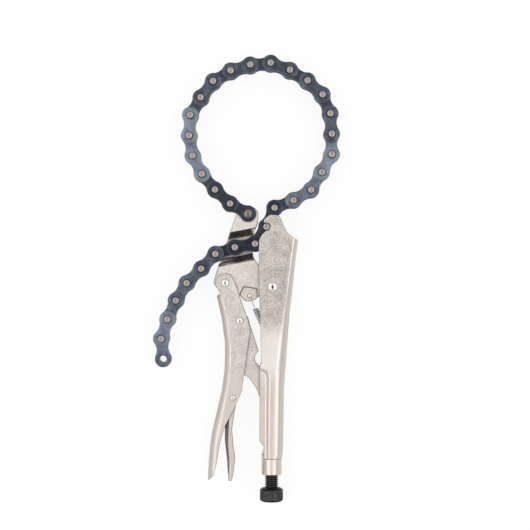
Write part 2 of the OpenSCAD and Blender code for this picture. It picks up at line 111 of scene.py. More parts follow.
class PliersFinish(bpy.types.PropertyGroup):
    """Colours of the finishes"""
    nickel: FloatVectorProperty(
        name="Nickel", description="Satin nickel plate on the sheet metal and the jaw",
        subtype="COLOR", size=3, min=0, max=1, default=(0.66, 0.605, 0.555))
    nickel_smooth: FloatVectorProperty(
        name="Smooth Nickel", description="Nickel on the bends and the rubbed grips",
        subtype="COLOR", size=3, min=0, max=1, default=(0.59, 0.53, 0.488))
    nickel_polish: FloatVectorProperty(
        name="Polished Nickel", description="Nickel on the flat above the fixed handle's grip",
        subtype="COLOR", size=3, min=0, max=1, default=(0.735, 0.685, 0.65))
    nickel_shade: FloatVectorProperty(
        name="Nickel Shade", description="Darker spots in the nickel's grain",
        subtype="COLOR", size=3, min=0, max=1, default=(0.30, 0.275, 0.255))
    # Painted shade: a dark line along the nickel's rounded rims and round the rivet feet.
    nickel_edge_shade: FloatVectorProperty(
        name="Nickel Rim", description="Dull tone along the nickel's cut edges",
        subtype="COLOR", size=3, min=0, max=1, default=(0.24, 0.205, 0.18))
    # Painted shade with some soiling, laid in the inner corners where shade falls.
    soil_and_shade: FloatVectorProperty(
        name="Shade and Soiling", description="Painted shade and soiling held in the inner corners",
        subtype="COLOR", size=3, min=0, max=1, default=(0.15, 0.118, 0.09))
    bright: FloatVectorProperty(
        name="Bright Metal", description="Polished rivets and worn edges",
        subtype="COLOR", size=3, min=0, max=1, default=(0.80, 0.77, 0.73))
    blued: FloatVectorProperty(
        name="Blued Steel", description="Middle tone of the heat-blued plates",
        subtype="COLOR", size=3, min=0, max=1, default=(0.050, 0.060, 0.080))
    violet: FloatVectorProperty(
        name="Violet Steel", description="Darkest tone of the heat-blued plates",
        subtype="COLOR", size=3, min=0, max=1, default=(0.020, 0.018, 0.025))
    pale_blue: FloatVectorProperty(
        name="Pale Blue", description="Lightest tone of the heat-blued plates",
        subtype="COLOR", size=3, min=0, max=1, default=(0.190, 0.222, 0.268))
    pin: FloatVectorProperty(
        name="Pin Steel", description="Bare ends of the chain pins",
        subtype="COLOR", size=3, min=0, max=1, default=(0.30, 0.272, 0.248))
    wire: FloatVectorProperty(
        name="Spring Wire", description="Drawn wire of the return spring",
        subtype="COLOR", size=3, min=0, max=1, default=(0.60, 0.59, 0.57))
    black: FloatVectorProperty(
        name="Black Oxide", description="Screw and knob",
        subtype="COLOR", size=3, min=0, max=1, default=(0.008, 0.0078, 0.0085))


class PliersChain(bpy.types.PropertyGroup):
    """Sizes of the chain's plates and pins"""
    pitch: FloatProperty(
        name="Pitch", description="Distance between neighbouring pins", unit="LENGTH", default=0.015875)
    end_radius: FloatProperty(
        name="End Radius", description="Radius of a plate's round end", unit="LENGTH", default=0.00647)
    waist: FloatProperty(
        name="Half Waist", description="Half the height of a plate at its waist", unit="LENGTH", default=0.0044)
    thickness: FloatProperty(
        name="Plate Thickness", description="Thickness of a plate", unit="LENGTH", default=0.0016)
    pin_radius: FloatProperty(
        name="Pin Radius", description="Radius of a pin", unit="LENGTH", default=0.00254)
    eye_radius: FloatProperty(
        name="Eye Radius", description="Radius of the holes in the inner plates", unit="LENGTH", default=0.0026)
    rim: FloatProperty(
        name="Rim", description="Rounding of a plate's edges", unit="LENGTH", default=0.00028)
    inner_level: FloatProperty(
        name="Inner Level", description="Middle of an inner plate from the mid-plane", unit="LENGTH",
        default=0.00445)
    outer_level: FloatProperty(
        name="Outer Level", description="Middle of an outer plate from the mid-plane", unit="LENGTH",
        default=0.00615)
    pin_half: FloatProperty(
        name="Half Pin", description="Half the length of a pin", unit="LENGTH", default=0.00965)


class PliersScrew(bpy.types.PropertyGroup):
    """Thread and knurl of the adjusting screw"""
    crest: FloatProperty(
        name="Crest Radius", description="Outer radius of the thread", unit="LENGTH", default=0.0051)
    root: FloatProperty(
        name="Root Radius", description="Radius of the core", unit="LENGTH", default=0.00405)
    pitch: FloatProperty(
        name="Thread Pitch", description="Rise of one turn", unit="LENGTH", default=0.0015875)
    columns: IntProperty(name="Knurl Columns", description="Knurl points round the knob", default=24)
    rows: IntProperty(name="Knurl Rows", description="Rows of knurl points along the knob", default=4)
    point: FloatProperty(
        name="Knurl Height", description="Height of a knurl point", unit="LENGTH", default=0.0006)


class PliersStage(bpy.types.PropertyGroup):
    """Camera and light"""
    distance: FloatProperty(
        name="Camera Distance", description="From the lens to the front face", unit="LENGTH", default=1.5)
    width: FloatProperty(
        name="Frame Width", description="Width seen at the front face", unit="LENGTH", default=0.40996)
    centre: FloatVectorProperty(
        name="Frame Centre", description="Point of the front face in the middle of the frame",
        subtype="TRANSLATION", size=3, default=(0.00348, -0.10056, 0.0095))
    overhead: FloatProperty(
        name="Overhead Light", description="Brightness of the tent above", default=0.85)
    sides: FloatProperty(
        name="Side Light", description="Brightness of the tent low at the sides", default=1.04)


# Shader helpers

def shader_group(name, inputs, outputs):
    """A shader node group with named float sockets."""
    tree = bpy.data.node_groups.new(name, "ShaderNodeTree")
    for label, value in inputs:
        socket = tree.interface.new_socket(name=label, in_out="INPUT", socket_type="NodeSocketFloat")
        socket.default_value = value
    for label in outputs:
        tree.interface.new_socket(name=label, in_out="OUTPUT", socket_type="NodeSocketFloat")
    return tree, tree.nodes.new("NodeGroupInput"), tree.nodes.new("NodeGroupOutput")


def plug(tree, target, value):
    """Links a socket to another, or sets its value."""
    if isinstance(value, bpy.types.NodeSocket):
        tree.links.new(value, target)
    else:
        target.default_value = value


def maths(tree, operation, a, b=0.0, clamp=False):
    node = tree.nodes.new("ShaderNodeMath")
    node.operation = operation
    node.use_clamp = clamp
    plug(tree, node.inputs[0], a)
    plug(tree, node.inputs[1], b)
    return node.outputs[0]


def ramped(tree, value, low, high, to_low=0.0, to_high=1.0):
    node = tree.nodes.new("ShaderNodeMapRange")
    node.interpolation_type = "SMOOTHSTEP"
    plug(tree, node.inputs["Value"], value)
    plug(tree, node.inputs["From Min"], low)
    plug(tree, node.inputs["From Max"], high)
    plug(tree, node.inputs["To Min"], to_low)
    plug(tree, node.inputs["To Max"], to_high)
    return node.outputs["Result"]


def noise(tree, scale, detail=3.0, roughness=0.55, stretch=None, shift=0.0):
    coords = tree.nodes.new("ShaderNodeTexCoord")
    source = coords.outputs["Object"]
    if stretch is not None or shift:
        mapping = tree.nodes.new("ShaderNodeMapping")
        mapping.inputs["Scale"].default_value = stretch or (1, 1, 1)
        mapping.inputs["Location"].default_value = (shift, shift, shift)
        tree.links.new(source, mapping.inputs["Vector"])
        source = mapping.outputs["Vector"]
    node = tree.nodes.new("ShaderNodeTexNoise")
    tree.links.new(source, node.inputs["Vector"])
    plug(tree, node.inputs["Scale"], scale)
    node.inputs["Detail"].default_value = detail
    node.inputs["Roughness"].default_value = roughness
    return node.outputs["Fac"]


def mixed(tree, factor, a, b):
    node = tree.nodes.new("ShaderNodeMix")
    node.data_type = "RGBA"
    plug(tree, node.inputs["Factor"], factor)
    for socket, value in ((node.inputs["A"], a), (node.inputs["B"], b)):
        plug(tree, socket, value if isinstance(value, bpy.types.NodeSocket) else (*value, 1.0))
    return node.outputs["Result"]


def build_groups():
    """The effects that several finishes share."""
    grain, start, end = shader_group(
        "metal_grain", [("Size", 0.001), ("Contrast", 1.0)], ["Tone", "Height"])
    scale = maths(grain, "DIVIDE", 1.0, start.outputs["Size"])
    fine = noise(grain, scale, 4.0, 0.62)
    broad = noise(grain, maths(grain, "MULTIPLY", scale, 0.17), 2.0, 0.5, shift=3.1)
    spots = ramped(grain, fine, 0.30, 0.66)
    patches = ramped(grain, broad, 0.35, 0.68)
    both = maths(grain, "ADD", maths(grain, "MULTIPLY", spots, 0.72), maths(grain, "MULTIPLY", patches, 0.28))
    tone = maths(grain, "MULTIPLY", maths(grain, "SUBTRACT", both, 0.5), start.outputs["Contrast"])
    grain.links.new(maths(grain, "ADD", tone, 0.5, clamp=True), end.inputs["Tone"])
    grain.links.new(fine, end.inputs["Height"])

    # Mask of the rim faces, broken up: the finishes colour it as lighter rims on the chain plates and pin ends, rubbed
    # knurl points and thread crests, and painted shade along the nickel rims and rivet feet.
    rub_and_shade, start, end = shader_group("edge_wear", [("Amount", 1.0), ("Broken", 0.5)], ["Mask"])
    edge = rub_and_shade.nodes.new("ShaderNodeAttribute")
    edge.attribute_name = "edge"
    ragged = ramped(rub_and_shade, noise(rub_and_shade, 900.0, 3.0), 0.3, 0.7)
    kept = maths(rub_and_shade, "SUBTRACT", 1.0, maths(rub_and_shade, "MULTIPLY", ragged, start.outputs["Broken"]))
    worn = maths(rub_and_shade, "MULTIPLY", maths(rub_and_shade, "MULTIPLY", edge.outputs["Fac"], kept), start.outputs["Amount"],
                 clamp=True)
    rub_and_shade.links.new(worn, end.inputs["Mask"])

    # Painted shade with some soiling: a mask on the faces that fill inner corners, broken into patches.
    soil_and_shade, start, end = shader_group("corner_grime", [("Amount", 1.0)], ["Mask"])
    corner = soil_and_shade.nodes.new("ShaderNodeAttribute")
    corner.attribute_name = "crevice"
    patchy = ramped(soil_and_shade, noise(soil_and_shade, 420.0, 3.0, shift=1.3), 0.25, 0.7, 0.75, 1.0)
    held = maths(soil_and_shade, "MULTIPLY", maths(soil_and_shade, "MULTIPLY", corner.outputs["Fac"], patchy), start.outputs["Amount"])
    soil_and_shade.links.new(held, end.inputs["Mask"])

    smear, start, end = shader_group("handling_smear", [("Size", 0.02)], ["Mask"])
    cloud = noise(smear, maths(smear, "DIVIDE", 1.0, start.outputs["Size"]), 4.0, 0.6, shift=7.7)
    streak = noise(smear, 260.0, 2.0, 0.5, stretch=(6.0, 0.5, 1.0))
    mixedup = maths(smear, "ADD", maths(smear, "MULTIPLY", cloud, 0.7), maths(smear, "MULTIPLY", streak, 0.3))
    smear.links.new(ramped(smear, mixedup, 0.35, 0.68), end.inputs["Mask"])


def group(tree, name, **values):
    node = tree.nodes.new("ShaderNodeGroup")
    node.node_tree = bpy.data.node_groups[name]
    for label, value in values.items():
        plug(tree, node.inputs[label], value)
    return node


def new_material(name, metallic=1.0):
    material = bpy.data.materials.new(name)
    material.use_nodes = True
    tree = material.node_tree
    shader = tree.nodes["Principled BSDF"]
    shader.inputs["Metallic"].default_value = metallic
    return material, tree, shader


def bump(tree, shader, height, distance, strength=1.0):
    node = tree.nodes.new("ShaderNodeBump")
    node.inputs["Distance"].default_value = distance
    plug(tree, node.inputs["Strength"], strength)
    tree.links.new(height, node.inputs["Height"])
    tree.links.new(node.outputs["Normal"], shader.inputs["Normal"])


def flat_wall(tree):
    """1 on the flat walls that face front or back, 0 on bends and rims."""
    wall = tree.nodes.new("ShaderNodeAttribute")
    wall.attribute_name = "wall"
    return wall.outputs["Fac"]


def grip_fade(tree, heights):
    """1 above the two heights, 0 below them on the grips, which hands have rubbed smooth."""
    coords = tree.nodes.new("ShaderNodeTexCoord")
    parts = tree.nodes.new("ShaderNodeSeparateXYZ")
    tree.links.new(coords.outputs["Object"], parts.inputs[0])
    return ramped(tree, parts.outputs["Y"], *heights)


def satin_nickel(name, finish, light, contrast, depth, bend_gloss, heights=ARM_GRAIN, polish=None):
    """Nickel plate: speckled grain on the flat walls, smooth on the bends and grips, with painted shade as a dark line
    along the rims and painted shade with some soiling in the inner corners.
    """
    material, tree, shader = new_material(name)
    grain = group(tree, "metal_grain", Size=0.0012, Contrast=contrast)
    smear = group(tree, "handling_smear", Size=0.018)
    rub_and_shade = group(tree, "edge_wear", Amount=0.8, Broken=0.4)
    soil_and_shade = group(tree, "corner_grime", Amount=0.85)
    wall = flat_wall(tree)
    speckled = maths(tree, "MULTIPLY", wall, grip_fade(tree, heights))
    colour = mixed(tree, grain.outputs["Tone"], tuple(light * c for c in finish.nickel_shade),
                   tuple(light * c for c in finish.nickel))
    polished = maths(tree, "MULTIPLY", wall, grip_fade(tree, ARM_GRAIN))
    smooth = mixed(tree, polished, tuple(finish.nickel_smooth), tuple(polish or finish.nickel_smooth))
    colour = mixed(tree, speckled, smooth, colour)
    # Painted shade: a dark line along the rounded rims.
    colour = mixed(tree, rub_and_shade.outputs["Mask"], colour, tuple(finish.nickel_edge_shade))
    # Painted shade with some soiling in the inner corners.
    colour = mixed(tree, soil_and_shade.outputs["Mask"], colour, tuple(finish.soil_and_shade))
    tree.links.new(colour, shader.inputs["Base Color"])
    rough = ramped(tree, wall, 0.0, 1.0, bend_gloss, 0.36)
    rough = maths(tree, "ADD", rough, maths(tree, "MULTIPLY", speckled, 0.04))
    rough = maths(tree, "ADD", rough, maths(tree, "MULTIPLY", smear.outputs["Mask"], 0.06))
    tree.links.new(rough, shader.inputs["Roughness"])
    bump(tree, shader, grain.outputs["Height"], depth, ramped(tree, speckled, 0.0, 1.0, 0.1, 0.6))
    return material


def bright_rivet(name, finish):
    material, tree, shader = new_material(name)
    grain = group(tree, "metal_grain", Size=0.0006, Contrast=0.5)
    smear = group(tree, "handling_smear", Size=0.004)
    colour = mixed(tree, grain.outputs["Tone"], tuple(0.85 * c for c in finish.bright), tuple(finish.bright))
    # Painted shade: the foot of the head, where it meets the plate, takes the dark rim colour.
    rub_and_shade = group(tree, "edge_wear", Amount=0.85, Broken=0.25)
    tree.links.new(mixed(tree, rub_and_shade.outputs["Mask"], colour, tuple(finish.nickel_edge_shade)), shader.inputs["Base Color"])
    tree.links.new(ramped(tree, smear.outputs["Mask"], 0.0, 1.0, 0.10, 0.18), shader.inputs["Roughness"])
    bump(tree, shader, grain.outputs["Height"], 0.00003, 0.3)
    return material


def blued_plate(name, finish):
    """Heat-blued steel: each link carries its own tone, partly the bluing's spread and partly painted shade and painted
    reflected light, broken up by clouds of the neighbouring tones.
    """
    material, tree, shader = new_material(name)
    grain = group(tree, "metal_grain", Size=0.0007, Contrast=0.7)
    smear = group(tree, "handling_smear", Size=0.007)
    rub_and_shade = group(tree, "edge_wear", Amount=0.55, Broken=0.55)
    bluing_and_shade = tree.nodes.new("ShaderNodeAttribute")
    bluing_and_shade.attribute_name = "bluing_and_shade"
    cloud = maths(tree, "MULTIPLY", maths(tree, "SUBTRACT", smear.outputs["Mask"], 0.5), 0.2)
    level = maths(tree, "ADD", bluing_and_shade.outputs["Fac"], cloud, clamp=True)
    low = mixed(tree, ramped(tree, level, 0.0, 0.5), tuple(finish.violet), tuple(finish.blued))
    colour = mixed(tree, ramped(tree, level, 0.5, 1.0), low, tuple(finish.pale_blue))
    dark = mixed(tree, grain.outputs["Tone"], (0.78, 0.78, 0.80), (1.0, 1.0, 1.0))
    shade = tree.nodes.new("ShaderNodeMix")
    shade.data_type = "RGBA"
    shade.blend_type = "MULTIPLY"
    shade.inputs["Factor"].default_value = 1.0
    tree.links.new(colour, shade.inputs["A"])
    tree.links.new(dark, shade.inputs["B"])
    worn = mixed(tree, rub_and_shade.outputs["Mask"], shade.outputs["Result"], (0.27, 0.27, 0.28))
    tree.links.new(worn, shader.inputs["Base Color"])
    rough = maths(tree, "ADD", 0.33, maths(tree, "MULTIPLY", grain.outputs["Tone"], 0.14))
    tree.links.new(rough, shader.inputs["Roughness"])
    bump(tree, shader, grain.outputs["Height"], 0.00006, 0.45)
    return material


def plain_metal(name, colour, rough, grain_size, rim_colour, amount, metallic=1.0):
    """A dark or bare metal with fine grain and its own colour on the marked rims: lighter rings on the pin ends, rubbed
    knurl points and thread crests, and painted shade round the anchor rivet's foot.
    """
    material, tree, shader = new_material(name, metallic)
    shader.inputs["Specular IOR Level"].default_value = 0.25
    grain = group(tree, "metal_grain", Size=grain_size, Contrast=0.9)
    rub_and_shade = group(tree, "edge_wear", Amount=amount, Broken=0.6)
    base = mixed(tree, grain.outputs["Tone"], tuple(0.72 * c for c in colour), tuple(colour))
    tree.links.new(mixed(tree, rub_and_shade.outputs["Mask"], base, rim_colour), shader.inputs["Base Color"])
    tree.links.new(ramped(tree, grain.outputs["Tone"], 0.0, 1.0, rough - 0.06, rough + 0.08),
                   shader.inputs["Roughness"])
    bump(tree, shader, grain.outputs["Height"], 0.00005, 0.4)
    return material


def finish_of(name):
    """The named finish, made on first use."""
    if name in bpy.data.materials:
        return bpy.data.materials[name]
    if "metal_grain" not in bpy.data.node_groups:
        build_groups()
    finish = bpy.context.scene.pliers_finish
    made = {
        "nickel_sheet": lambda: satin_nickel(name, finish, 0.92, 1.15, 0.00005, 0.22, SHEET_GRAIN, finish.nickel_polish),
        "nickel_arm": lambda: satin_nickel(name, finish, 1.12, 0.6, 0.00003, 0.62),
        "nickel_forging": lambda: satin_nickel(name, finish, 1.18, 0.5, 0.00004, 0.27),
        "rivet_nickel": lambda: bright_rivet(name, finish),
        "blued_plate": lambda: blued_plate(name, finish),
        "pin_steel": lambda: plain_metal(name, finish.pin, 0.34, 0.0006, (0.47, 0.435, 0.405), 0.85),
        # Painted shade: a dark foot ring on the anchor rivet.
        "anchor_steel": lambda: plain_metal(name, tuple(0.75 * c for c in finish.pin), 0.2, 0.0006, (0.1, 0.09, 0.08), 0.8),
        "spring_wire": lambda: plain_metal(name, finish.wire, 0.28, 0.0005, (0.5, 0.5, 0.5), 0.0),
        "oxide_black": lambda: plain_metal(name, finish.black, 0.36, 0.0007, (0.42, 0.415, 0.42), 1.0, 0.6),
    }[name]
    return made()


# Mesh helpers

def new_object(name, mesh):
    obj = bpy.data.objects.new(name, mesh)
    bpy.context.scene.collection.objects.link(obj)
    return obj


def mark_faces(mesh, name, values):
    """Stores one number for each face under the given name."""
    layer = mesh.attributes.get(name) or mesh.attributes.new(name, "FLOAT", "FACE")
    layer.data.foreach_set("value", values)


def mark_rims(mesh):
    """Stores which faces of the rim slot round an outer edge and which fill an inner corner."""
    bm = bmesh.new()
    bm.from_mesh(mesh)
    turns = []
    for face in bm.faces:
        longest = sorted(face.edges, key=lambda e: -e.calc_length())[:2]
        narrow = face.calc_area() < 0.0006 * longest[0].calc_length()
        rim = narrow and face.material_index == RIM_SLOT
        turns.append(sum(e.calc_face_angle_signed(0.0) for e in longest) if rim else 0.0)
    bm.free()
    mark_faces(mesh, "edge", [float(turn > 0.0) for turn in turns])
    mark_faces(mesh, "crevice", [float(turn < 0.0) for turn in turns])
    mesh.polygons.foreach_set("material_index", [0] * len(mesh.polygons))


def mark_walls(mesh):
    """Stores which faces lie flat towards the front or back, for the grain of the sheet."""
    mark_faces(mesh, "wall", [min(1.0, max(0.0, (abs(face.normal.z) - 0.90) / 0.09)) for face in mesh.polygons])


def settled(obj):
    """The object's evaluated shape as its own plain mesh, with no modifier left."""
    bpy.context.view_layer.update()
    graph = bpy.context.evaluated_depsgraph_get()
    mesh = bpy.data.meshes.new_from_object(obj.evaluated_get(graph))
    obj.modifiers.clear()
    obj.data = mesh
    mesh.name = obj.name
    return mesh


def front_cut(mesh, line, level):
    """The mesh without what lies in front of the level and to the left of the line."""
    outside = -0.05
    outline = [(outside, line[0][1]), *line, (outside, line[-1][1])]
    bm = bmesh.new()
    face = bm.faces.new([bm.verts.new((x, y, level)) for x, y in outline])
    grown = bmesh.ops.extrude_face_region(bm, geom=[face])["geom"]
    bmesh.ops.translate(bm, vec=(0, 0, 0.01), verts=[v for v in grown if isinstance(v, bmesh.types.BMVert)])
    bmesh.ops.recalc_face_normals(bm, faces=bm.faces)
    block = bpy.data.meshes.new("cut_block")
    bm.to_mesh(block)
    bm.free()
    cutter = new_object("cut_block", block)
    piece = new_object("cut_piece", mesh)
    cut = piece.modifiers.new("cut", "BOOLEAN")
    cut.operation = "DIFFERENCE"
    cut.solver = "EXACT"
    cut.object = cutter
    result = settled(piece)
    bpy.data.objects.remove(piece)
    bpy.data.objects.remove(cutter)
    return result


def dressed_node(node, body, finish, rim, mouth=None):
    """A copy of a frame node with rounded rims and a finish, in place of the node.

    mouth is a line and a level: the front wall is cut away to the left of the line, down to the level.
    """
    source = frame["nodes"][node].data
    mesh = bpy.data.meshes.new(node + "_shell")
    mesh.from_pydata([v.co[:] for v in source.vertices], [], [p.vertices[:] for p in source.polygons])
    bm = bmesh.new()
    bm.from_mesh(mesh)
    bmesh.ops.remove_doubles(bm, verts=bm.verts, dist=2e-6)
    if mouth:
        bm.to_mesh(mesh)
        bm.clear()
        mesh = front_cut(mesh, *mouth)
        bm.from_mesh(mesh)
    bmesh.ops.dissolve_limit(bm, angle_limit=math.radians(0.8), verts=bm.verts, edges=bm.edges)
    weights = [float(edge.calc_face_angle(0.0) > math.radians(40)) for edge in bm.edges]
    bm.to_mesh(mesh)
    bm.free()
    mesh.attributes.new("bevel_weight_edge", "FLOAT", "EDGE").data.foreach_set("value", weights)
    obj = new_object(node + "_finished", mesh)
    mesh.materials.append(finish_of(finish))
    mesh.materials.append(finish_of(finish))
    mesh.shade_smooth()
    mesh.set_sharp_from_angle(angle=math.radians(40))
    bevel = obj.modifiers.new("rounded_rims", "BEVEL")
    bevel.width = rim
    bevel.segments = 3 if rim > 0.0005 else 2
    bevel.limit_method = "WEIGHT"
    bevel.material = RIM_SLOT
    bevel.use_clamp_overlap = False
    flat = obj.modifiers.new("flat_walls", "WEIGHTED_NORMAL")
    flat.keep_sharp = True
    mesh = settled(obj)
    mark_rims(mesh)
    mark_walls(mesh)
    mesh.materials.pop(index=RIM_SLOT)
    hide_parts(node)
    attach(obj, body)
    return obj


def lathe(profile, count, name, rims=()):
    """A closed shape turned round Z from (radius, height) points that start and end on the axis.

    rims numbers the stretches of the profile that are marked as rims: painted shade at a rivet head's foot and a
    lighter ring on a pin's end.
    """
    bm = bmesh.new()
    edge = bm.faces.layers.float.new("edge")
    rings = []
    for r, z in profile:
        if r < 1e-9:
            rings.append([bm.verts.new((0, 0, z))])
        else:
            rings.append([bm.verts.new((r * math.cos(2 * math.pi * k / count),
                                        r * math.sin(2 * math.pi * k / count), z)) for k in range(count)])
    for stretch, (a, b) in enumerate(zip(rings, rings[1:])):
        for k in range(count):
            n = (k + 1) % count
            corners = [a[k % len(a)], a[n % len(a)], b[n % len(b)], b[k % len(b)]]
            unique = list(dict.fromkeys(corners))
            if len(unique) > 2:
                bm.faces.new(unique)[edge] = float(stretch in rims)
    bmesh.ops.recalc_face_normals(bm, faces=bm.faces)
    mesh = bpy.data.meshes.new(name)
    bm.to_mesh(mesh)
    bm.free()
    mesh.shade_smooth()
    mesh.set_sharp_from_angle(angle=math.radians(34))
    return mesh


def swept_wire(path, radius, sides, name):
    """A round wire along a path, with closed ends."""
    bm = bmesh.new()
    rings = []
    normal = None
    for i, p in enumerate(path):
        tangent = (path[min(i + 1, len(path) - 1)] - path[max(i - 1, 0)]).normalized()
        if normal is None:
            normal = tangent.orthogonal().normalized()
        normal = (normal - tangent * normal.dot(tangent)).normalized()
        other = tangent.cross(normal)
        rings.append([bm.verts.new(p + radius * (math.cos(t) * normal + math.sin(t) * other))
                      for t in (2 * math.pi * k / sides for k in range(sides))])
    for a, b in zip(rings, rings[1:]):
        for k in range(sides):
            bm.faces.new((a[k], a[(k + 1) % sides], b[(k + 1) % sides], b[k]))
    bm.faces.new(rings[0])
    bm.faces.new(rings[-1])
    bmesh.ops.recalc_face_normals(bm, faces=bm.faces)
    mesh = bpy.data.meshes.new(name)
    bm.to_mesh(mesh)
    bm.free()
    mesh.shade_smooth()
    mesh.set_sharp_from_angle(angle=math.radians(50))
    return mesh


def plate_outline(chain):
    """Points round a figure-eight plate whose first pin is at the origin and whose second is one pitch along X."""
    r, w, half = chain.end_radius, chain.waist, chain.pitch / 2
    neck = (half * half + w * w - r * r) / (2 * (r - w))
    turn = math.atan2(w + neck, half)
    side = [(r * math.cos(t), r * math.sin(t))
            for t in (math.pi - (math.pi - turn) * k / 16 for k in range(17))]
    side += [(half + neck * math.cos(t), w + neck + neck * math.sin(t))
             for t in (turn - math.pi + (math.pi / 2 - turn) * k / 8 for k in range(1, 9))]
    top = side + [(2 * half - x, y) for x, y in reversed(side[:-1])]
    return top + [(x, -y) for x, y in reversed(top[1:-1])]


def stamped_plate(chain, hole, name):
    """A link plate with two holes and rounded rims, centred on its own mid-plane."""
    bm = bmesh.new()
    edge = bm.faces.layers.float.new("edge")
    loops = [plate_outline(chain)]
    for x in (0.0, chain.pitch):
        loops.append([(x + hole * math.cos(2 * math.pi * k / 32), hole * math.sin(2 * math.pi * k / 32))
                      for k in range(32)])
    edges = []
    for points in loops:
        ring = [bm.verts.new((x, y, -chain.thickness / 2)) for x, y in points]
        edges += [bm.edges.new((ring[k], ring[(k + 1) % len(ring)])) for k in range(len(ring))]
    bmesh.ops.triangle_fill(bm, edges=edges, use_beauty=True, use_dissolve=False)
    lifted = bmesh.ops.extrude_face_region(bm, geom=bm.faces[:])
    moved = [g for g in lifted["geom"] if isinstance(g, bmesh.types.BMVert)]
    bmesh.ops.translate(bm, verts=moved, vec=(0, 0, chain.thickness))
    bmesh.ops.recalc_face_normals(bm, faces=bm.faces)
    rims = [e for e in bm.edges if e.calc_face_angle(0.0) > math.radians(60)]
    made = bmesh.ops.bevel(bm, geom=rims, offset=chain.rim, segments=2, profile=0.5, affect="EDGES",
                           clamp_overlap=False)
    for face in made["faces"]:
        face[edge] = 1.0
    bmesh.ops.dissolve_limit(bm, angle_limit=math.radians(0.5), verts=bm.verts, edges=bm.edges)
    mesh = bpy.data.meshes.new(name)
    bm.to_mesh(mesh)
    bm.free()
    mesh.shade_smooth()
    mesh.set_sharp_from_angle(angle=math.radians(36))
    return new_object(name, mesh)


# Geometry node helpers

def shape_tree(name, inputs):
    """A geometry node tree with named inputs and one geometry output."""
    tree = bpy.data.node_groups.new(name, "GeometryNodeTree")
    for label, kind in inputs:
        tree.interface.new_socket(name=label, in_out="INPUT", socket_type="NodeSocket" + kind)
    tree.interface.new_socket(name="Shape", in_out="OUTPUT", socket_type="NodeSocketGeometry")
    return tree, tree.nodes.new("NodeGroupInput").outputs, tree.nodes.new("NodeGroupOutput")


def add(tree, kind, **values):
    """A node with its sockets set or linked by name, with underscores for spaces."""
    node = tree.nodes.new(kind)
    for label, value in values.items():
        plug(tree, node.inputs[label.replace("_", " ")], value)
    return node


def vector(tree, x=0.0, y=0.0, z=0.0):
    return add(tree, "ShaderNodeCombineXYZ", X=x, Y=y, Z=z).outputs[0]


def joined(tree, *shapes):
    node = tree.nodes.new("GeometryNodeJoinGeometry")
    for shape in shapes:
        tree.links.new(shape, node.inputs[0])
    return node.outputs[0]


def made_by(tree, name, **values):
    """An object whose mesh is the tree's result for these inputs."""
    obj = new_object(name, bpy.data.meshes.new(name))
    modifier = obj.modifiers.new("shape", "NODES")
    modifier.node_group = tree
    labels = {item.name: item.identifier for item in tree.interface.items_tree if item.in_out == "INPUT"}
    for label, value in values.items():
        modifier[labels[label.replace("_", " ")]] = value
    mesh = settled(obj)
    while len(mesh.materials) > 1 and mesh.materials[0] is None:
        mesh.materials.pop(index=0)
    return obj


def link_tree():
    """One chain link: two plates on their levels and, on an outer link, two pins."""
    tree, given, end = shape_tree("riveted_link", [
        ("Plate", "Object"), ("Pin", "Object"), ("Level", "Float"), ("Pitch", "Float"), ("Pinned", "Bool"),
        ("Place", "Vector"), ("Heading", "Float"), ("Tint", "Float"), ("Plate Finish", "Material"),
        ("Pin Finish", "Material")])
    plate = add(tree, "GeometryNodeObjectInfo", Object=given["Plate"], As_Instance=True)
    pin = add(tree, "GeometryNodeObjectInfo", Object=given["Pin"], As_Instance=True)
    low = maths(tree, "MULTIPLY", given["Level"], -1.0)
    levels = add(tree, "GeometryNodeMeshLine", Count=2, Start_Location=vector(tree, z=low),
                 Offset=vector(tree, z=maths(tree, "MULTIPLY", given["Level"], 2.0)))
    holes = add(tree, "GeometryNodeMeshLine", Count=2, Offset=vector(tree, x=given["Pitch"]))
    plates = add(tree, "GeometryNodeInstanceOnPoints", Points=levels.outputs[0], Instance=plate.outputs["Geometry"])
    pins = add(tree, "GeometryNodeInstanceOnPoints", Points=holes.outputs[0], Instance=pin.outputs["Geometry"],
               Selection=given["Pinned"])
    shapes = []
    for shape, finish in ((plates, "Plate Finish"), (pins, "Pin Finish")):
        turned = add(tree, "GeometryNodeTransform", Geometry=shape.outputs[0], Translation=given["Place"],
                     Rotation=vector(tree, z=given["Heading"]))
        solid = add(tree, "GeometryNodeRealizeInstances", Geometry=turned.outputs[0])
        # The stored tone carries the bluing with its painted shade and painted reflected light.
        toned = tree.nodes.new("GeometryNodeStoreNamedAttribute")
        toned.data_type = "FLOAT"
        toned.domain = "POINT"
        toned.inputs["Name"].default_value = "bluing_and_shade"
        tree.links.new(solid.outputs[0], toned.inputs["Geometry"])
        tree.links.new(given["Tint"], toned.inputs["Value"])
        shapes.append(add(tree, "GeometryNodeSetMaterial", Geometry=toned.outputs[0],
                          Material=given[finish]).outputs[0])
    tree.links.new(joined(tree, *shapes), end.inputs[0])
    return tree


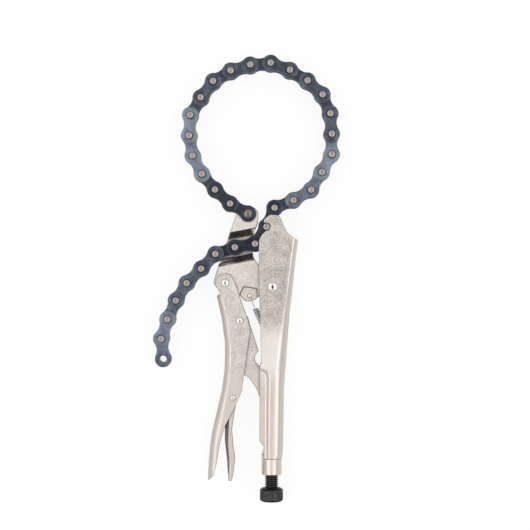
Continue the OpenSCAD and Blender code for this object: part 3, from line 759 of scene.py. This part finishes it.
def rivet_tree():
    """A shank with a turned head on each end."""
    tree, given, end = shape_tree("domed_rivet", [
        ("Head", "Object"), ("Radius", "Float"), ("Height", "Float"), ("Shank", "Float"), ("Half", "Float"),
        ("Place", "Vector"), ("Finish", "Material")])
    head = add(tree, "GeometryNodeObjectInfo", Object=given["Head"], As_Instance=True)
    size = vector(tree, given["Radius"], given["Radius"], given["Height"])
    low = maths(tree, "MULTIPLY", given["Half"], -1.0)
    front = add(tree, "GeometryNodeTransform", Geometry=head.outputs["Geometry"], Scale=size,
                Translation=vector(tree, z=given["Half"]))
    rear = add(tree, "GeometryNodeTransform", Geometry=head.outputs["Geometry"], Scale=size,
               Translation=vector(tree, z=low), Rotation=vector(tree, x=math.pi))
    shank = add(tree, "GeometryNodeMeshCylinder", Vertices=32, Radius=given["Shank"],
                Depth=maths(tree, "MULTIPLY", given["Half"], 2.0))
    whole = joined(tree, front.outputs[0], rear.outputs[0], shank.outputs["Mesh"])
    placed = add(tree, "GeometryNodeTransform", Geometry=whole, Translation=given["Place"])
    solid = add(tree, "GeometryNodeRealizeInstances", Geometry=placed.outputs[0])
    painted = add(tree, "GeometryNodeSetMaterial", Geometry=solid.outputs[0], Material=given["Finish"])
    tree.links.new(painted.outputs[0], end.inputs[0])
    return tree


def thread_tree():
    """A threaded rod along Y: a core and one unbroken ridge."""
    tree, given, end = shape_tree("screw_thread", [
        ("Root", "Float"), ("Crest", "Float"), ("Pitch", "Float"), ("Length", "Float"), ("Place", "Vector"),
        ("Finish", "Material")])
    core = add(tree, "GeometryNodeMeshCylinder", Vertices=40, Radius=given["Root"], Depth=given["Length"])
    run = maths(tree, "SUBTRACT", given["Length"], maths(tree, "MULTIPLY", given["Pitch"], 1.2))
    turns = maths(tree, "DIVIDE", run, given["Pitch"])
    spiral = add(tree, "GeometryNodeCurveSpiral", Resolution=32, Rotations=turns, Start_Radius=given["Root"],
                 End_Radius=given["Root"], Height=run, Reverse=True)
    upright = tree.nodes.new("GeometryNodeSetCurveNormal")
    upright.mode = "Z_UP"
    tree.links.new(spiral.outputs[0], upright.inputs[0])
    ridge = tree.nodes.new("GeometryNodeCurvePrimitiveQuadrilateral")
    ridge.mode = "POINTS"
    rise = maths(tree, "SUBTRACT", given["Crest"], given["Root"])
    foot = maths(tree, "MULTIPLY", given["Pitch"], 0.5)
    tip = maths(tree, "MULTIPLY", given["Pitch"], 0.2)
    sunk = maths(tree, "MULTIPLY", rise, -0.2)
    for k, (across, up) in enumerate(((foot, sunk), (tip, rise), (maths(tree, "MULTIPLY", tip, -1.0), rise),
                                      (maths(tree, "MULTIPLY", foot, -1.0), sunk))):
        tree.links.new(vector(tree, up, across), ridge.inputs[f"Point {k + 1}"])
    wound = add(tree, "GeometryNodeCurveToMesh", Curve=upright.outputs[0], Profile_Curve=ridge.outputs[0],
                Fill_Caps=True)
    lowered = add(tree, "GeometryNodeTransform", Geometry=wound.outputs[0],
                  Translation=vector(tree, z=maths(tree, "MULTIPLY", run, -0.5)))
    whole = joined(tree, core.outputs["Mesh"], lowered.outputs[0])
    placed = add(tree, "GeometryNodeTransform", Geometry=whole, Translation=given["Place"],
                 Rotation=vector(tree, x=-math.pi / 2))
    solid = add(tree, "GeometryNodeRealizeInstances", Geometry=placed.outputs[0])
    painted = add(tree, "GeometryNodeSetMaterial", Geometry=solid.outputs[0], Material=given["Finish"])
    tree.links.new(painted.outputs[0], end.inputs[0])
    return tree


def knurl_tree():
    """Staggered rows of four-sided points round a drum that lies along Y."""
    tree, given, end = shape_tree("diamond_knurl", [
        ("Radius", "Float"), ("Length", "Float"), ("Columns", "Int"), ("Rows", "Int"), ("Point", "Float"),
        ("Place", "Vector"), ("Finish", "Material")])
    wide = maths(tree, "DIVIDE", maths(tree, "MULTIPLY", given["Radius"], math.pi), given["Columns"])
    row_count = maths(tree, "SUBTRACT", given["Rows"], 1.0)
    step = maths(tree, "DIVIDE", given["Length"], row_count)
    here = tree.nodes.new("GeometryNodeInputPosition")
    parts = add(tree, "ShaderNodeSeparateXYZ", Vector=here.outputs[0])
    around = maths(tree, "ARCTAN2", parts.outputs["Y"], parts.outputs["X"])
    facing = vector(tree, y=math.pi / 2, z=around)
    point = add(tree, "GeometryNodeMeshCone", Vertices=4, Radius_Top=maths(tree, "MULTIPLY", wide, 0.42),
                Radius_Bottom=maths(tree, "MULTIPLY", wide, 0.94), Depth=given["Point"])
    rubbed = tree.nodes.new("GeometryNodeStoreNamedAttribute")
    rubbed.data_type = "FLOAT"
    rubbed.domain = "FACE"
    rubbed.inputs["Name"].default_value = "edge"
    tree.links.new(point.outputs["Mesh"], rubbed.inputs["Geometry"])
    tree.links.new(point.outputs["Top"], rubbed.inputs["Value"])
    rows = []
    for shift in (0.0, 0.5):
        drum = add(tree, "GeometryNodeMeshCylinder", Vertices=given["Columns"],
                   Side_Segments=maths(tree, "SUBTRACT", row_count, 1.0 if shift else 0.0),
                   Radius=given["Radius"],
                   Depth=maths(tree, "SUBTRACT", given["Length"], maths(tree, "MULTIPLY", step, 2.0 * shift)))
        drum.fill_type = "NONE"
        turned = add(tree, "GeometryNodeTransform", Geometry=drum.outputs["Mesh"],
                     Rotation=vector(tree, z=maths(tree, "DIVIDE", 2 * math.pi * shift, given["Columns"])))
        rows.append(add(tree, "GeometryNodeInstanceOnPoints", Points=turned.outputs[0],
                        Instance=rubbed.outputs[0], Rotation=facing).outputs[0])
    placed = add(tree, "GeometryNodeTransform", Geometry=joined(tree, *rows), Translation=given["Place"],
                 Rotation=vector(tree, x=-math.pi / 2))
    solid = add(tree, "GeometryNodeRealizeInstances", Geometry=placed.outputs[0])
    painted = add(tree, "GeometryNodeSetMaterial", Geometry=solid.outputs[0], Material=given["Finish"])
    tree.links.new(painted.outputs[0], end.inputs[0])
    return tree


def link_bluing_and_shade(number):
    """How far a link's tone runs from violet, 0, to pale blue, 1: the bluing's own spread, with painted shade on the
    dark links under the jaw and painted reflected light on the pale links.
    """
    wander = 0.5 + 0.5 * math.sin(12.9898 * number)
    if number in DARK_LINKS:
        return 0.20 + 0.16 * wander
    if number in GREY_LINKS:
        return 0.69 + 0.08 * wander
    if number in PALE_LINKS:
        return 0.82 + 0.10 * wander
    return (0.38 if number % 2 else 0.60) + 0.08 * wander


def placed_on(obj, body, slot, *nodes):
    """Rides a finished piece on its body, in place of the named frame nodes."""
    if nodes:
        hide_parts(*nodes)
    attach(obj, body)
    return obj


# Operators

class PLIERS_OT_handles(bpy.types.Operator):
    """Finish the two bent-sheet handles"""
    bl_idname = "pliers.handles"
    bl_label = "Handles"

    def execute(self, context):
        dressed_node("fixed_handle", "fixed_handle", "nickel_sheet", 0.00035)
        dressed_node("movable_handle", "movable_handle", "nickel_arm", 0.00035)
        return {"FINISHED"}


class PLIERS_OT_forgings(bpy.types.Operator):
    """Finish the jaw, the toggle link and the release lever"""
    bl_idname = "pliers.forgings"
    bl_label = "Jaw, Toggle Link and Lever"

    def execute(self, context):
        dressed_node("jaw", "jaw", "nickel_forging", 0.0005)
        dressed_node("toggle_link", "toggle_link", "nickel_arm", 0.0004)
        lever = dressed_node("release_lever", "release_lever", "nickel_arm", 0.0006,
                             mouth=(LEVER_MOUTH, LEVER_FLOOR))
        # Painted shade with some soiling: the channel's inner floor, bared where the front wall is cut away, takes the
        # dark inner-corner colour.
        channel_shade = lever.data.attributes["crevice"].data
        for face in lever.data.polygons:
            if face.normal.z > 0.5 and abs(face.center.z) < LEVER_FLOOR + 0.0002:
                channel_shade[face.index].value = 1.0
        return {"FINISHED"}


class PLIERS_OT_rivets(bpy.types.Operator):
    """Make the domed rivets of the five pivots"""
    bl_idname = "pliers.rivets"
    bl_label = "Rivets"

    def execute(self, context):
        dome = [(0.0, 0.0), (1.0, 0.0), (1.0, 0.05), (0.92, 0.14)]
        dome += [(0.92 * r, 0.14 + 0.86 * (1.0 - r ** 3.5)) for r in (1.0 - k / 16 for k in range(1, 16))]
        dome += [(0.0, 1.0)]
        # The head's foot stretches are marked as rims, for painted shade where the head meets the plate.
        head = new_object("rivet_head", lathe(dome, 48, "rivet_head", rims=(1, 2)))
        tree = rivet_tree()
        for node, body, shank in (("jaw_rivet", "fixed_handle", 0.0032), ("ear_rivet", "movable_handle", 0.0025),
                                  ("toggle_rivet", "movable_handle", 0.0023),
                                  ("lever_rivet", "movable_handle", 0.0016), ("anchor_rivet", "jaw", 0.00254)):
            low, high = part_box(node)
            rise = 0.0013
            rivet = made_by(tree, node + "_turned", Head=head, Radius=(high.x - low.x) / 2, Height=rise,
                            Shank=shank, Half=high.z - rise, Place=(low + high) / 2,
                            Finish=finish_of("anchor_steel" if node == "anchor_rivet" else "rivet_nickel"))
            placed_on(rivet, body, "rivet_steel", node)
        bpy.data.objects.remove(head)
        return {"FINISHED"}


class PLIERS_OT_chain(bpy.types.Operator):
    """Make the chain, one mesh for each link"""
    bl_idname = "pliers.chain"
    bl_label = "Chain"

    def execute(self, context):
        chain = context.scene.pliers_chain
        h, r = chain.pin_half, chain.pin_radius
        end = [(0.0, h - 0.00016), (0.34 * r, h - 0.00016), (0.50 * r, h - 0.00005), (0.66 * r, h),
               (0.82 * r, h - 0.00003), (0.93 * r, h - 0.00018), (r, h - 0.00045)]
        profile = end + [(x, -z) for x, z in reversed(end)]
        pin = new_object("pin_shape", lathe(profile, 32, "pin_shape", rims=(3, 4, 8, 9)))
        inner = stamped_plate(chain, chain.eye_radius, "inner_plate_shape")
        outer = stamped_plate(chain, chain.pin_radius + 0.00003, "outer_plate_shape")
        tree = link_tree()
        for k, node in enumerate(LINKS):
            step = PINS[k + 1] - PINS[k]
            link = made_by(tree, node + "_riveted", Plate=outer if k % 2 else inner, Pin=pin,
                           Level=chain.outer_level if k % 2 else chain.inner_level, Pitch=chain.pitch,
                           Pinned=bool(k % 2), Place=PINS[k], Heading=math.atan2(step.y, step.x), Tint=link_bluing_and_shade(k + 1),
                           Plate_Finish=finish_of("blued_plate"), Pin_Finish=finish_of("pin_steel"))
            placed_on(link, node, "blued_steel", node)
        for shape in (pin, inner, outer):
            bpy.data.objects.remove(shape)
        return {"FINISHED"}


class PLIERS_OT_screw(bpy.types.Operator):
    """Make the threaded rod and the knurled knob"""
    bl_idname = "pliers.screw"
    bl_label = "Adjusting Screw"

    def execute(self, context):
        screw = context.scene.pliers_screw
        low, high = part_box("adjusting_screw")
        axis_x, radius, top = (low.x + high.x) / 2, (high.x - low.x) / 2, low.y + 0.0116
        black = finish_of("oxide_black")
        rod = made_by(thread_tree(), "threaded_rod", Root=screw.root, Crest=screw.crest, Pitch=screw.pitch,
                      Length=high.y - top + 0.0015, Place=Vector((axis_x, (high.y + top - 0.0015) / 2, 0)),
                      Finish=black)
        rod.data.shade_smooth()
        rod.data.set_sharp_from_angle(angle=math.radians(35))
        ridge = (screw.root + 3 * screw.crest) / 4
        mark_faces(rod.data, "edge", [0.12 * (math.hypot(f.center.x - axis_x, f.center.z) > ridge)
                                      for f in rod.data.polygons])
        placed_on(rod, "adjusting_screw", "black_oxide", "adjusting_screw")
        flank = radius - screw.point
        height = top - low.y
        profile = [(0.0, 0.0), (radius - 0.0026, 0.0), (radius - 0.0016, 0.00025), (radius - 0.0009, 0.0008),
                   (flank - 0.0001, 0.0016), (flank, 0.0022), (flank, height - 0.0030), (radius - 0.0001, height - 0.0025),
                   (radius - 0.0004, height - 0.0018), (radius - 0.0011, height - 0.0010), (radius - 0.0022, height - 0.0004),
                   (radius - 0.0040, height), (0.0, height)]
        knob = new_object("knob", lathe(profile, 72, "knob"))
        knob.data.transform(axis_matrix(axis_x, low.y))
        knob.data.materials.append(black)
        placed_on(knob, "adjusting_screw", "black_oxide")
        start, stop = 0.0021, height - 0.0027
        knurl = made_by(knurl_tree(), "knob_knurl", Radius=flank - 0.00002, Length=stop - start,
                        Columns=screw.columns, Rows=screw.rows, Point=screw.point,
                        Place=Vector((axis_x, low.y + (start + stop) / 2, 0)), Finish=black)
        placed_on(knurl, "adjusting_screw", "black_oxide")
        return {"FINISHED"}


class PLIERS_OT_spring(bpy.types.Operator):
    """Wind the return spring between the jaw's lobe and the peg in the handle"""
    bl_idname = "pliers.spring"
    bl_label = "Return Spring"

    def execute(self, context):
        lobe, start = Vector((-0.0085, -0.1245, 0)), Vector((-0.0042, -0.1344, 0))
        heading = math.radians(-65)
        along = Vector((math.cos(heading), math.sin(heading), 0))
        side = Vector((-along.y, along.x, 0))
        mean, pitch, coils, steps, wire = 0.0021, 0.0012, 16, 20, 0.00035

        def coil(s, t):
            return start + along * s + side * (mean * math.cos(t)) + Vector((0, 0, mean * math.sin(t)))

        top = 0.0042 - 0.0018 + wire + 0.0009
        path = [Vector((lobe.x, lobe.y, -0.001)), Vector((lobe.x, lobe.y, top - 0.001))]
        path += [lobe + along * (0.001 * (1 - math.cos(t))) + Vector((0, 0, top - 0.001 + 0.001 * math.sin(t)))
                 for t in (math.radians(11.25 * k) for k in range(1, 9))]
        path += [coil(-0.0022, math.pi / 2)]
        path += [coil(pitch * k / steps, math.pi / 2 + 2 * math.pi * k / steps) for k in range(coils * steps + 1)]
        path += [coil(coils * pitch + 0.002, math.pi / 2), coil(coils * pitch + 0.0065, math.pi / 2)]
        spring = new_object("return_spring_wound", swept_wire(path, wire, 10, "return_spring_wound"))
        spring.data.materials.append(finish_of("spring_wire"))
        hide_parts("return_spring")
        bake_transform(spring)
        return {"FINISHED"}


class PLIERS_OT_stage(bpy.types.Operator):
    """Set up the floor, the light tent and the camera"""
    bl_idname = "pliers.stage"
    bl_label = "Stage"

    def execute(self, context):
        scene = context.scene
        stage = scene.pliers_stage
        scene.view_settings.view_transform = "Standard"
        floor_mesh = bpy.data.meshes.new("floor")
        floor_mesh.from_pydata([(-6, -6, 0), (6, -6, 0), (6, 6, 0), (-6, 6, 0)], [], [(0, 1, 2, 3)])
        floor_mesh.transform(Matrix.Translation((0, 0, CAD_LOW.z - 0.0002)))
        floor = new_object("floor", floor_mesh)
        floor_mesh.materials.append(self.floor_finish())
        card_mesh = bpy.data.meshes.new("card")
        card_mesh.from_pydata([(-0.1, -0.5, 0), (-0.1, 0.3, 0), (0.1, 0.3, 0), (0.1, -0.5, 0)], [], [(0, 1, 2, 3)])
        card = new_object("camera_card", card_mesh)
        card_mesh.transform(Matrix.Translation(Vector(stage.centre) + Vector((0, 0, stage.distance + 0.03))))
        card.visible_camera = False
        card.visible_shadow = False
        card.visible_diffuse = False
        card_finish, tree, shader = new_material("card_black", 0.0)
        shader.inputs["Base Color"].default_value = (0.02, 0.02, 0.02, 1.0)
        shader.inputs["Roughness"].default_value = 0.9
        card.data.materials.append(card_finish)
        self.tent(scene, stage)
        self.lamp("softbox_left", (-0.84, 0.0, 1.48), 1.27, 1.9, 8.6)
        self.lamp("softbox_right", (0.84, 0.0, 1.48), 1.27, 1.9, 8.6)
        camera_data = bpy.data.cameras.new("camera")
        camera_data.sensor_width = 36.0
        camera_data.lens = 36.0 * stage.distance / stage.width
        camera_data.clip_start, camera_data.clip_end = 0.1, 20.0
        camera = bpy.data.objects.new("camera", camera_data)
        scene.collection.objects.link(camera)
        camera.location = Vector(stage.centre) + Vector((0, 0, stage.distance))
        scene.camera = camera
        return {"FINISHED"}

    @staticmethod
    def floor_finish():
        material, tree, shader = new_material("white_floor", 0.0)
        tree.nodes.remove(shader)
        path = tree.nodes.new("ShaderNodeLightPath")
        seen = maths(tree, "MAXIMUM", path.outputs["Is Camera Ray"],
                     maths(tree, "MAXIMUM", path.outputs["Is Glossy Ray"], path.outputs["Is Transmission Ray"]))
        matte = tree.nodes.new("ShaderNodeBsdfDiffuse")
        matte.inputs["Color"].default_value = (0.9, 0.9, 0.9, 1.0)
        white = tree.nodes.new("ShaderNodeEmission")
        both = tree.nodes.new("ShaderNodeMixShader")
        tree.links.new(maths(tree, "MULTIPLY", seen, 0.88), both.inputs[0])
        tree.links.new(matte.outputs[0], both.inputs[1])
        tree.links.new(white.outputs[0], both.inputs[2])
        tree.links.new(both.outputs[0], tree.nodes["Material Output"].inputs["Surface"])
        return material

    @staticmethod
    def tent(scene, stage):
        world = bpy.data.worlds.new("light_tent")
        scene.world = world
        world.use_nodes = True
        tree = world.node_tree
        coords = tree.nodes.new("ShaderNodeTexCoord")
        parts = tree.nodes.new("ShaderNodeSeparateXYZ")
        tree.links.new(coords.outputs["Generated"], parts.inputs[0])
        level = ramped(tree, parts.outputs["Z"], 0.05, 0.4, stage.sides, stage.overhead)
        path = tree.nodes.new("ShaderNodeLightPath")
        back = tree.nodes["Background"]
        back.inputs["Color"].default_value = (1.0, 1.0, 1.0, 1.0)
        tree.links.new(maths(tree, "MAXIMUM", path.outputs["Is Camera Ray"], level), back.inputs["Strength"])

    @staticmethod
    def lamp(name, place, width, length, power):
        data = bpy.data.lights.new(name, "AREA")
        data.shape = "RECTANGLE"
        data.size, data.size_y = length, width
        data.energy = power
        lamp = bpy.data.objects.new(name, data)
        bpy.context.scene.collection.objects.link(lamp)
        lamp.location = place
        lamp.rotation_euler = (Vector((0, -0.1, 0)) - Vector(place)).to_track_quat("-Z", "Y").to_euler()


def axis_matrix(x, y):
    """Stands a shape turned round Z along Y, with its foot at the given point."""
    return Matrix.Translation((x, y, 0)) @ Matrix.Rotation(-math.pi / 2, 4, "X")


class PLIERS_PT_panel(bpy.types.Panel):
    """Pieces of the pliers"""
    bl_idname = "PLIERS_PT_panel"
    bl_label = "Locking Chain Pliers"
    bl_space_type = "VIEW_3D"
    bl_region_type = "UI"
    bl_category = "Pliers"

    def draw(self, context):
        for settings in ("pliers_finish", "pliers_chain", "pliers_screw", "pliers_stage"):
            box = self.layout.box()
            group_of = getattr(context.scene, settings)
            for name in group_of.bl_rna.properties.keys():
                if name not in ("rna_type", "name"):
                    box.prop(group_of, name)
        for operator in OPERATORS:
            self.layout.operator(operator.bl_idname)


SETTINGS = {"pliers_finish": PliersFinish, "pliers_chain": PliersChain, "pliers_screw": PliersScrew,
            "pliers_stage": PliersStage}
OPERATORS = (PLIERS_OT_stage, PLIERS_OT_handles, PLIERS_OT_forgings, PLIERS_OT_rivets, PLIERS_OT_chain,
             PLIERS_OT_screw, PLIERS_OT_spring)


def register():
    for kind in (*SETTINGS.values(), *OPERATORS, PLIERS_PT_panel):
        bpy.utils.register_class(kind)
    for name, kind in SETTINGS.items():
        setattr(bpy.types.Scene, name, PointerProperty(type=kind))


def unregister():
    for name in SETTINGS:
        delattr(bpy.types.Scene, name)
    for kind in (PLIERS_PT_panel, *reversed(OPERATORS), *reversed(SETTINGS.values())):
        bpy.utils.unregister_class(kind)


def main():
    register()
    bpy.ops.pliers.stage()
    bpy.ops.pliers.handles()
    bpy.ops.pliers.forgings()
    bpy.ops.pliers.rivets()
    bpy.ops.pliers.chain()
    bpy.ops.pliers.screw()
    bpy.ops.pliers.spring()


if __name__ == "__main__":
    main()
